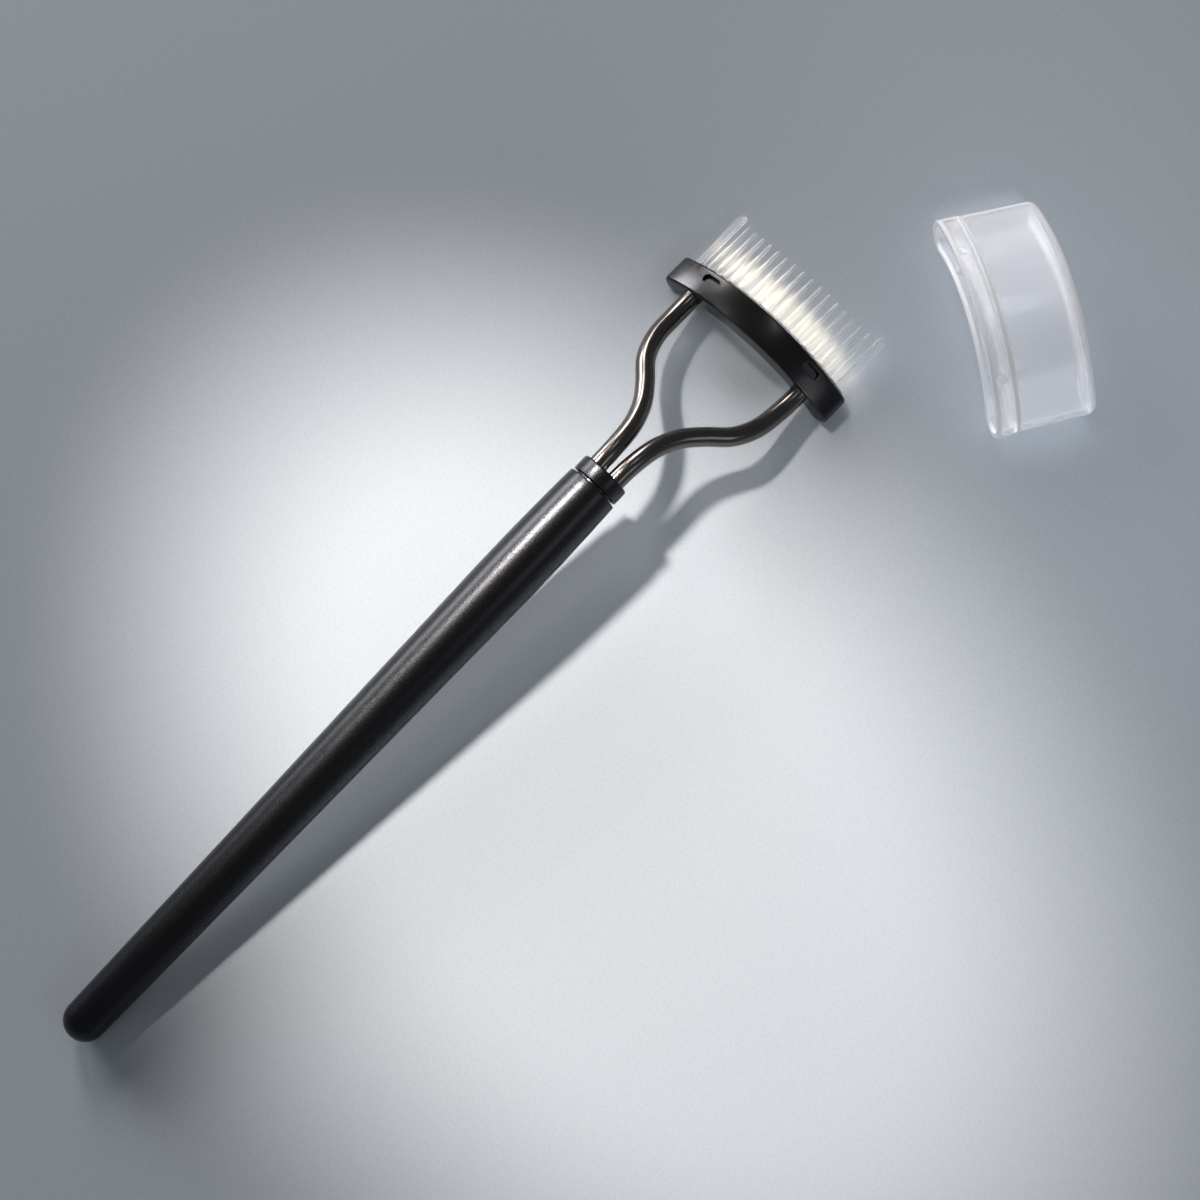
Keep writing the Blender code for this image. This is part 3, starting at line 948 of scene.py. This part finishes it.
@dataclass
class Fork:
    """The two bent wires between the collar and the head."""

    place: CombPlace
    arch: Arch
    collar_front: float
    wire_radius: float = 1.20 * MM
    half_spacing: float = 1.41 * MM
    tail: float = 11.9 * MM
    reach: float = 24.7 * MM
    half_spread: float = 8.85 * MM
    gap: float = 0.01 * MM
    steps: int = 110
    round_steps: int = 10
    sharp_angle: float = 50.0
    # Share of the reach, and the share of the spread there. The first and last only set slopes.
    flare: tuple[tuple[float, float], ...] = (
        (-0.1, 0.0),
        (0.0, 0.0),
        (0.12, 0.015),
        (0.24, 0.060),
        (0.32, 0.135),
        (0.40, 0.262),
        (0.485, 0.476),
        (0.585, 0.765),
        (0.71, 0.934),
        (0.85, 0.985),
        (1.0, 1.0),
        (1.1, 1.0),
    )

    @staticmethod
    def blend(start: float, end: float, slopes: tuple[float, float], share: float) -> float:
        """Gives a value on a cubic between two ends.

        Args:
            start: Value at the start.
            end: Value at the end.
            slopes: Slopes at the two ends, per whole span.
            share: Where along the span, from 0 to 1.

        Returns:
            The value.
        """
        s2, s3 = share**2, share**3
        rise = (s3 - 2 * s2 + share) * slopes[0] + (s3 - s2) * slopes[1]
        return (2 * s3 - 3 * s2 + 1) * start + (3 * s2 - 2 * s3) * end + rise

    def spread(self, share: float) -> float:
        """Gives how far a wire has spread.

        Args:
            share: Share of the fork's reach.

        Returns:
            Share of the whole spread.
        """
        knots = self.flare
        for i in range(1, len(knots) - 2):
            (x0, y0), (x1, y1) = knots[i], knots[i + 1]
            if share <= x1:
                span = x1 - x0
                before = (y1 - knots[i - 1][1]) / (x1 - knots[i - 1][0]) * span
                after = (knots[i + 2][1] - y0) / (knots[i + 2][0] - x0) * span
                return self.blend(y0, y1, (before, after), (share - x0) / span)
        return 1.0

    def route(self, side: Side) -> list[Vector]:
        """Gives the middle line of one wire.

        Args:
            side: Which wire.

        Returns:
            Points from the wire's tail, inside the handle, to the head.
        """
        rise = self.place.rise
        axis = Vector((0.0, math.cos(rise), math.sin(rise)))
        mouth = Vector((side.value * self.half_spacing, 0.0, self.place.tail_radius))
        mouth += axis * (self.collar_front - self.place.tail_dome)
        span = self.reach - self.gap
        end_height = self.arch.height(self.half_spread)
        slopes = (math.tan(rise) * span, 0.0)
        points = [mouth - axis * self.tail]
        for i in range(self.steps + 1):
            share = i / self.steps
            out = (self.half_spread - self.half_spacing) * self.spread(share)
            height = self.blend(mouth.z, end_height, slopes, share)
            along = mouth.y + share * span
            points.append(Vector((side.value * (self.half_spacing + out), along, height)))
        return points

    def build_wire(self, side: Side) -> bpy.types.Object:
        """Draws a wire's middle line and gives it its round section.

        Args:
            side: Which wire.

        Returns:
            The wire.
        """
        wire = draw_line(f"bent_wire_{side.name.lower()}", self.route(side))
        bpy.ops.object.mode_set(mode="OBJECT")
        bpy.ops.object.convert(target="CURVE")
        wire = bpy.context.active_object
        wire.data.dimensions = "3D"
        wire.data.bevel_depth = self.wire_radius
        wire.data.bevel_resolution = self.round_steps
        wire.data.use_fill_caps = True
        bpy.ops.object.convert(target="MESH")
        wire = bpy.context.active_object
        bpy.ops.object.mode_set(mode="EDIT")
        close_mesh(wire)
        place(wire, self.place.on_table())
        smooth(wire, self.sharp_angle)
        return wire


@dataclass
class Head:
    """The arched head and the clear comb that is set in its front."""

    place: CombPlace
    arch: Arch
    back: float
    depth: float = 3.85 * MM
    half_thickness: float = 1.45 * MM
    half_width: float = 13.45 * MM
    fillet: float = 0.38 * MM
    channel_half: float = 0.65 * MM
    channel_depth: float = 1.50 * MM
    recess_half_length: float = 1.275 * MM
    recess_half_width: float = 0.525 * MM
    recess_depth: float = 0.50 * MM
    recess_lip: float = 0.09 * MM
    recess_along: float = 7.9 * MM
    recess_sides: int = 48
    cut_past: float = 1.0 * MM
    seat_depth: float = 2.60 * MM
    head_sharp: float = 28.0
    comb_sharp: float = 40.0
    strip_half: float = 0.50 * MM
    strip_buried: float = 1.30 * MM
    strip_proud: float = 0.45 * MM
    strip_ease: float = 0.10 * MM
    tooth_count: int = 16
    tooth_pitch: float = 1.40 * MM
    tooth_reach: float = 7.30 * MM
    tooth_end_extra: float = 0.60 * MM
    tooth_root: float = 0.42 * MM
    tooth_tip: float = 0.21 * MM
    tooth_flare: float = 0.16 * MM
    tooth_sides: int = 20
    tooth_steps: int = 8
    tooth_tip_steps: int = 6
    guard_reach: float = 9.0 * MM
    guard_along: float = 12.50 * MM
    guard_half_width: float = 0.66 * MM
    guard_half_thickness: float = 0.22 * MM
    # Makes the oval squarer the smaller it is: 1 is an ellipse.
    guard_squareness: float = 0.55
    guard_sides: int = 32
    guard_tip_steps: int = 10
    guard_tip_width: float = 0.12
    guard_tip_thickness: float = 0.80

    @property
    def front(self) -> float:
        """Distance from the comb's origin to the head's front face."""
        return self.back + self.depth

    def build_head(self) -> bpy.types.Object:
        """Sweeps the head and cuts its channel and its four snap recesses.

        Returns:
            The head.
        """
        half, fillet = self.half_thickness, self.fillet
        rear = (half - fillet, self.back + fillet)
        fore = (half - fillet, self.front - fillet)
        profile: Profile = [(0.0, self.back)]
        profile += arc(rear, fillet, -90.0, 0.0, FILLET_STEPS)
        profile += arc(fore, fillet, 0.0, 90.0, FILLET_STEPS)
        profile += [
            (self.channel_half, self.front),
            (self.channel_half, self.front - self.channel_depth),
            (0.0, self.front - self.channel_depth),
        ]
        head = self.arch.sweep("arched_head", profile)
        for side in Side:
            for face in (1, -1):
                floor = face * (half - self.recess_depth)
                cutter = self.recess_cutter(face)
                along = side.value * self.recess_along
                middle = self.front - self.seat_depth / 2
                place(cutter, self.arch.stand(along, floor, middle))
                boolean(head, cutter, Boolean.CUT)
        place(head, self.place.on_table())
        smooth(head, self.head_sharp)
        return head

    def recess_cutter(self, face: int) -> bpy.types.Object:
        """Makes the solid that cuts one recess: a round-ended slot with an eased lip.

        Args:
            face: 1 for the upper face of the head, -1 for the lower one.

        Returns:
            The cutter, which stands on the recess's floor.
        """
        half_width = self.recess_half_width
        straight = self.recess_half_length - half_width
        cutter = self.upright_disc(self.recess_sides, half_width)
        for vertex in cutter.data.vertices:
            if abs(vertex.co.x) > MERGE:
                vertex.co.x += math.copysign(straight, vertex.co.x)
        bpy.ops.object.mode_set(mode="EDIT")
        bpy.ops.mesh.select_all(action="SELECT")
        lip = self.recess_lip
        wall = self.recess_depth - lip
        self.extrude_and_grow(face * wall, 1.0, 1.0)
        long_growth = (self.recess_half_length + lip) / self.recess_half_length
        wide_growth = (half_width + lip) / half_width
        self.extrude_and_grow(face * lip, long_growth, wide_growth)
        self.extrude_and_grow(face * self.cut_past, 1.0, 1.0)
        return close_mesh(cutter)

    @staticmethod
    def upright_disc(sides: int, radius: float) -> bpy.types.Object:
        """Makes a flat disc that faces along Y.

        Args:
            sides: Number of its sides.
            radius: Its radius.

        Returns:
            The disc.
        """
        deselect_all()
        bpy.ops.mesh.primitive_circle_add(vertices=sides, radius=radius, fill_type="NGON")
        disc = bpy.context.active_object
        bpy.ops.object.mode_set(mode="EDIT")
        bpy.ops.mesh.select_all(action="SELECT")
        bpy.ops.transform.rotate(
            value=math.pi / 2, orient_axis="X", center_override=(0.0, 0.0, 0.0)
        )
        bpy.ops.object.mode_set(mode="OBJECT")
        return disc

    @staticmethod
    def extrude_and_grow(step: float, grow_x: float, grow_z: float) -> None:
        """Extrudes what is selected along Y and scales its new end.

        Args:
            step: How far it goes.
            grow_x: Factor along X.
            grow_z: Factor along Z.
        """
        bpy.ops.mesh.extrude_region_move(TRANSFORM_OT_translate={"value": (0.0, step, 0.0)})
        bpy.ops.transform.resize(
            value=(grow_x, 1.0, grow_z), center_override=(0.0, 0.0, 0.0)
        )

    def build_comb(self) -> bpy.types.Object:
        """Sweeps the clear strip and joins its teeth and guards to it.

        Returns:
            The comb.
        """
        start = self.front - self.strip_buried
        end = self.front + self.strip_proud
        ease = self.strip_ease
        profile: Profile = [(0.0, start), (self.strip_half, start)]
        corner = (self.strip_half - ease, end - ease)
        profile += arc(corner, ease, 0.0, 90.0, EASE_STEPS)
        profile.append((0.0, end))
        comb = self.arch.sweep("clear_comb", profile)
        teeth = [self.tooth(i) for i in range(self.tooth_count)]
        teeth += [self.guard(side) for side in Side]
        pick(*teeth)
        bpy.ops.object.join()
        boolean(comb, teeth[0], Boolean.JOIN)
        place(comb, self.place.on_table())
        smooth(comb, self.comb_sharp)
        return comb

    def tooth(self, index: int) -> bpy.types.Object:
        """Turns one tooth: a flared root, a taper and a round tip.

        Args:
            index: Which tooth, counted from the left.

        Returns:
            The tooth, in its place on the arch.
        """
        last = (self.tooth_count - 1) / 2
        share = (index - last) / last
        reach = self.tooth_reach + self.tooth_end_extra * share**4
        root, tip, flare = self.tooth_root, self.tooth_tip, self.tooth_flare
        foot = self.strip_proud
        profile: Profile = [(0.0, foot / 2), (root + flare, foot / 2)]
        profile += arc((root + flare, foot + flare), flare, 270.0, 180.0, EASE_STEPS)
        shoulder = reach - tip
        for i in range(1, self.tooth_steps + 1):
            part = i / self.tooth_steps
            y = foot + flare + (shoulder - foot - flare) * part
            profile.append((root + (tip - root) * part, y))
        profile += arc((0.0, shoulder), tip, 0.0, 90.0, self.tooth_tip_steps)[1:]
        tooth = lathe("tooth", profile, self.tooth_sides)
        angle = share * last * self.tooth_pitch / self.arch.radius
        place(tooth, Matrix.Translation(self.arch.at(angle, 0.0, self.front)))
        return tooth

    def guard(self, side: Side) -> bpy.types.Object:
        """Makes one flat guard with a round end, by extruding an oval.

        Args:
            side: Which end of the comb.

        Returns:
            The guard, in its place on the arch.
        """
        wide, thick = self.guard_half_width, self.guard_half_thickness
        guard = self.upright_disc(self.guard_sides, 1.0)
        for vertex in guard.data.vertices:
            x, z = vertex.co.x, vertex.co.z
            vertex.co.x = wide * math.copysign(abs(x) ** self.guard_squareness, x)
            vertex.co.z = thick * math.copysign(abs(z) ** self.guard_squareness, z)
        bpy.ops.object.mode_set(mode="EDIT")
        bpy.ops.mesh.select_all(action="SELECT")
        start = self.strip_proud / 2
        shoulder = self.guard_reach - wide
        bpy.ops.transform.translate(value=(0.0, start, 0.0))
        self.extrude_and_grow(shoulder - start, 1.0, 1.0)
        width = 1.0
        steps = self.guard_tip_steps
        for i in range(1, steps + 1):
            turn = math.pi / 2 * i / steps
            before = math.pi / 2 * (i - 1) / steps
            new_width = max(math.cos(turn), self.guard_tip_width)
            step = wide * (math.sin(turn) - math.sin(before))
            thinner = self.guard_tip_thickness if i == steps else 1.0
            self.extrude_and_grow(step, new_width / width, thinner)
            width = new_width
        close_mesh(guard)
        stand = self.arch.stand(side.value * self.guard_along, 0.0, self.front)
        upright = Matrix.Rotation(-math.pi / 2, 4, "X")
        place(guard, stand @ upright)
        return guard


@dataclass
class Cap:
    """The milky cap: an arched pocket with a stepped skirt and four snap bumps."""

    place: CombPlace
    arch: Arch
    teeth_end: float
    aside: float = 17.95 * MM
    ahead: float = 9.4 * MM
    turn: float = -math.radians(32.8)
    tooth_room: float = 1.35 * MM
    skirt_room: float = 1.60 * MM
    wall: float = 0.70 * MM
    skirt_length: float = 2.80 * MM
    seat_depth: float = 2.60 * MM
    depth: float = 12.95 * MM
    end_wall: float = 0.80 * MM
    end_fillet: float = 1.40 * MM
    end_fillet_steps: int = 14
    inner_fillet: float = 0.70 * MM
    lip_fillet: float = 0.12 * MM
    step_fillet: float = 0.10 * MM
    bump_radius: float = 0.75 * MM
    bump_height: float = 0.30 * MM
    bump_along: float = 7.9 * MM
    bump_sides: int = 32
    bump_rings: int = 16
    sharp_angle: float = 32.0

    def on_table(self) -> Matrix:
        """Gives the frame of the cap where it lies, its mouth at y = 0.

        Returns:
            The frame's matrix.
        """
        spot = Matrix.Translation((self.aside, self.teeth_end + self.ahead, 0.0))
        return self.place.on_table() @ spot @ Matrix.Rotation(self.turn, 4, "Z")

    def build_cap(self) -> bpy.types.Object:
        """Sweeps the pocket's wall and joins the snap bumps to its skirt.

        Returns:
            The cap.
        """
        body = self.tooth_room + self.wall
        skirt = self.skirt_room + self.wall
        inner_end = self.depth - self.end_wall
        lip, ease = self.lip_fillet, self.step_fillet
        end, inner = self.end_fillet, self.inner_fillet
        profile: Profile = [(0.0, self.depth)]
        profile += arc((body - end, self.depth - end), end, 90.0, 0.0, self.end_fillet_steps)
        step = (skirt - ease, self.skirt_length - ease)
        profile += arc(step, ease, 90.0, 0.0, EASE_STEPS)
        profile += arc((skirt - lip, lip), lip, 0.0, -90.0, EASE_STEPS)
        profile += arc((self.skirt_room + lip, lip), lip, -90.0, -180.0, EASE_STEPS)
        profile += [(self.skirt_room, self.seat_depth), (self.tooth_room, self.seat_depth)]
        bottom = (self.tooth_room - inner, inner_end - inner)
        profile += arc(bottom, inner, 0.0, 90.0, FILLET_STEPS)
        profile.append((0.0, inner_end))
        cap = self.arch.sweep("milky_cap", profile)
        for side in Side:
            for face in (1, -1):
                boolean(cap, self.bump(side, face), Boolean.JOIN)
        mark_lengthwise(cap, self.depth)
        place(cap, self.on_table())
        smooth(cap, self.sharp_angle)
        return cap

    def bump(self, side: Side, face: int) -> bpy.types.Object:
        """Makes one snap bump, a flattened ball half sunk in the skirt's inner wall.

        Args:
            side: Which end of the cap.
            face: 1 for the upper wall, -1 for the lower one.

        Returns:
            The bump, in its place.
        """
        deselect_all()
        bpy.ops.mesh.primitive_uv_sphere_add(
            segments=self.bump_sides,
            ring_count=self.bump_rings,
            radius=self.bump_radius,
            rotation=(math.pi / 2, 0.0, 0.0),
        )
        bump = bpy.context.active_object
        bpy.ops.object.transform_apply(location=True, rotation=True, scale=True)
        bump.scale = (1.0, self.bump_height / self.bump_radius, 1.0)
        bpy.ops.object.transform_apply(location=True, rotation=True, scale=True)
        along = side.value * self.bump_along
        place(bump, self.arch.stand(along, face * self.skirt_room, self.seat_depth / 2))
        return bump


# Surroundings


@dataclass(frozen=True)
class Lamp:
    """A studio lamp, hung at a reach in metres from the spot that it looks at.

    That spot is given in millimetres from the comb's origin.
    """

    name: str
    aim: tuple[float, float, float]
    towards: tuple[float, float, float]
    reach: float
    power: float
    colour: str

    def hang(self, origin: Vector, kind: str) -> bpy.types.Object:
        """Hangs the lamp.

        Args:
            origin: The comb's origin.
            kind: The sort of lamp, in Blender's word for it.

        Returns:
            The lamp.
        """
        deselect_all()
        target = origin + Vector(self.aim) * MM
        spot = target + Vector(self.towards).normalized() * self.reach
        aim = (target - spot).to_track_quat("-Z", "Y").to_euler()
        bpy.ops.object.light_add(type=kind, location=spot, rotation=aim)
        lamp = bpy.context.active_object
        lamp.name = self.name
        lamp.data.energy = self.power
        lamp.data.color = linear(self.colour)[:3]
        return lamp


@dataclass(frozen=True)
class Panel(Lamp):
    """A softbox: a flat glowing rectangle."""

    size: tuple[float, float]
    turn: float = 0.0

    def light(self, origin: Vector) -> None:
        """Hangs the softbox.

        Args:
            origin: The comb's origin.
        """
        lamp = self.hang(origin, "AREA")
        lamp.data.shape = "RECTANGLE"
        lamp.data.size, lamp.data.size_y = self.size
        lamp.rotation_euler.rotate_axis("Z", self.turn)


@dataclass(frozen=True)
class Beam(Lamp):
    """A lamp with a lens, whose light fades out round a pool on the table."""

    cone: float
    fade: float
    radius: float
    stretch: float

    def light(self, origin: Vector) -> None:
        """Hangs the lamp.

        Args:
            origin: The comb's origin.
        """
        lamp = self.hang(origin, "SPOT")
        lamp.data.spot_size = self.cone
        lamp.data.spot_blend = self.fade
        lamp.data.shadow_soft_size = self.radius
        lamp.scale = (1.0, self.stretch, 1.0)


@dataclass
class Studio:
    """Pale table, soft lamps and the camera over the comb."""

    place: CombPlace
    table_size: float = 8.0
    elevation: float = math.radians(79.75)
    distance: float = 217.92 * MM
    heading: float = math.radians(46.33)
    target: tuple[float, float, float] = (8.57 * MM, 76.51 * MM, 0.0)
    lens: float = 54.0
    sensor: float = 36.0
    clip: tuple[float, float] = (0.01, 20.0)
    room_colour: str = "#dfe5ec"
    room_level: float = 0.14
    horizon_level: float = 0.40
    # Heights of a direction, as its sine, between which the horizon fades into the room.
    horizon_band: tuple[float, float] = (0.02, 0.30)
    # Gives the pool of light on the table and the shadows in it.
    key: Beam = Beam(
        name="key_lamp",
        aim=(24.0, 60.0, 0.0),
        towards=(-0.79, 0.12, 1.0),
        reach=0.45,
        power=11.6,
        colour="#fff9f2",
        cone=math.radians(12.7),
        fade=0.45,
        radius=0.019,
        stretch=1.2,
    )
    # Gives the warm glow between the teeth.
    tooth_lamp: Beam = Beam(
        name="tooth_lamp",
        aim=(-3.4, 118.4, 4.0),
        towards=(-0.75, 0.05, 0.72),
        reach=0.30,
        power=8.2,
        colour="#ffe8c8",
        cone=math.radians(1.2),
        fade=0.7,
        radius=0.001,
        stretch=3.0,
    )
    # Gives the long highlight down the handle.
    side_box: Panel = Panel(
        name="side_softbox",
        aim=(19.0, 67.0, 0.0),
        towards=(-0.95, 0.085, 0.27),
        reach=1.6,
        power=14.0,
        colour="#f8f9ff",
        size=(0.68, 0.48),
    )
    # Gives the lines of light on the wires and the head's edges.
    wire_box: Panel = Panel(
        name="wire_softbox",
        aim=(0.0, 98.0, 7.0),
        towards=(-0.777, 0.467, 0.423),
        reach=1.4,
        power=7.0,
        colour="#fff8f3",
        size=(0.32, 0.52),
    )
    # Whitens the cap's edges from the near right.
    cap_lamp: Beam = Beam(
        name="cap_lamp",
        aim=(42.0, 128.0, 0.0),
        towards=(0.70, -0.54, 0.62),
        reach=0.6,
        power=4.2,
        colour="#fbfcff",
        cone=math.radians(10.0),
        fade=1.0,
        radius=0.03,
        stretch=1.0,
    )
    # Softens the shadows from the other side.
    fill_box: Panel = Panel(
        name="fill_softbox",
        aim=(19.0, 67.0, 0.0),
        towards=(0.82, 0.18, 0.72),
        reach=1.6,
        power=1.1,
        colour="#f2f5fb",
        size=(0.60, 0.50),
    )
    # Gives the soft band of light across the cap.
    cap_strip: Panel = Panel(
        name="cap_strip_light",
        aim=(42.0, 128.0, 0.0),
        towards=(-0.058, 0.402, 0.914),
        reach=1.6,
        power=0.35,
        colour="#f8fbff",
        size=(0.30, 0.05),
        turn=-math.radians(32.8),
    )

    def build_table(self) -> None:
        """Lays the table under the comb."""
        deselect_all()
        bpy.ops.mesh.primitive_plane_add(size=self.table_size)
        table = bpy.context.active_object
        table.name = "table_top"
        PaleTable("pale_laminate").put_on(table)

    def build_light(self) -> None:
        """Hangs the lamps and sets the room: an even pale grey, brighter at the horizon."""
        beams = (self.key, self.tooth_lamp, self.cap_lamp)
        boxes = (self.side_box, self.wire_box, self.fill_box, self.cap_strip)
        for lamp in beams + boxes:
            lamp.light(self.place.origin)
        world = bpy.data.worlds.new("pale_room")
        bpy.context.scene.world = world
        world.use_nodes = True
        tree = world.node_tree
        tree.nodes.clear()
        direction = add_node(tree, "ShaderNodeTexCoord")
        height = add_node(
            tree, "ShaderNodeSeparateXYZ", {}, {"Vector": direction.outputs["Generated"]}
        )
        level = add_node(
            tree,
            "ShaderNodeMapRange",
            {
                "From Min": self.horizon_band[0],
                "From Max": self.horizon_band[1],
                "To Min": self.horizon_level,
                "To Max": self.room_level,
            },
            {"Value": height.outputs["Z"]},
        )
        sky = add_node(
            tree,
            "ShaderNodeBackground",
            {"Color": linear(self.room_colour)},
            {"Strength": level.outputs["Result"]},
        )
        add_node(tree, "ShaderNodeOutputWorld", {}, {"Surface": sky.outputs["Background"]})

    def build_camera(self) -> None:
        """Sets the camera over the comb, as the photograph was taken."""
        deselect_all()
        up = Vector((-math.cos(self.heading), math.sin(self.heading), 0.0))
        back = -up * math.cos(self.elevation) + Vector((0.0, 0.0, math.sin(self.elevation)))
        right = up.cross(back).normalized()
        true_up = back.cross(right)
        turn = Matrix((right, true_up, back)).transposed().to_4x4()
        spot = self.place.origin + Vector(self.target) + back * self.distance
        bpy.ops.object.camera_add(location=spot)
        camera = bpy.context.active_object
        camera.matrix_world = Matrix.Translation(spot) @ turn
        camera.data.lens = self.lens
        camera.data.sensor_width = self.sensor
        camera.data.clip_start, camera.data.clip_end = self.clip
        bpy.context.scene.camera = camera

    def build(self) -> None:
        """Builds everything round the comb."""
        self.build_table()
        self.build_light()
        self.build_camera()
        bpy.context.scene.view_settings.view_transform = "Standard"


def comb_origin(head_back: float) -> Vector:
    """Finds the comb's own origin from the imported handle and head.

    Args:
        head_back: Distance from the origin to the head's back face.

    Returns:
        The origin.
    """
    low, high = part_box("handle")
    return Vector(((low.x + high.x) / 2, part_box("head_frame")[0].y - head_back, 0.0))


def resting_arch(half_thickness: float) -> Arch:
    """Makes the arch of a piece that stands on its two round ends.

    Args:
        half_thickness: Half the thickness of the piece.

    Returns:
        The arch, which is the head's for any piece, but for its height.
    """
    radius = Arch.radius
    end_angle = math.asin((Head.half_width - Head.half_thickness) / radius)
    return Arch(end_angle, half_thickness - radius * math.cos(end_angle))


def main() -> None:
    """Builds the comb, its cap and the studio, in that order."""
    logging.basicConfig(level=logging.INFO, format="%(name)s: %(message)s")
    deselect_all()
    collar_front = Grip.length + Grip.groove + Grip.collar_length
    straight = (collar_front - CombPlace.tail_dome) * math.cos(CombPlace.rise)
    head_back = straight + Fork.reach
    spot = CombPlace(comb_origin(head_back))

    satin = SatinBlackMetal("black_anodised_aluminium")
    nickel = BlackNickel("black_nickel_plate")
    abs_black = BlackAbs("black_abs")
    acrylic = ClearAcrylic("clear_acrylic")
    milky = MilkyPolypropylene("milky_polypropylene")

    arch = resting_arch(Head.half_thickness)
    grip = Grip(spot)
    fork = Fork(spot, arch, collar_front)
    head = Head(spot, arch, head_back)
    cap_arch = resting_arch(Cap.skirt_room + Cap.wall)
    cap = Cap(spot, cap_arch, head.front + head.tooth_reach)

    pieces = [
        Piece(grip.build_handle(), "handle", "comb", satin),
        Piece(grip.build_collar(), "wire_collar", "comb", satin),
        Piece(fork.build_wire(Side.LEFT), "fork_wire_left", "comb", nickel),
        Piece(fork.build_wire(Side.RIGHT), "fork_wire_right", "comb", nickel),
        Piece(head.build_head(), "head_frame", "comb", abs_black),
        Piece(head.build_comb(), "comb_insert", "comb", acrylic),
        Piece(cap.build_cap(), "cap", "cap", milky),
    ]
    for piece in pieces:
        piece.hand_over()
    Studio(spot).build()


if __name__ == "__main__":
    main()
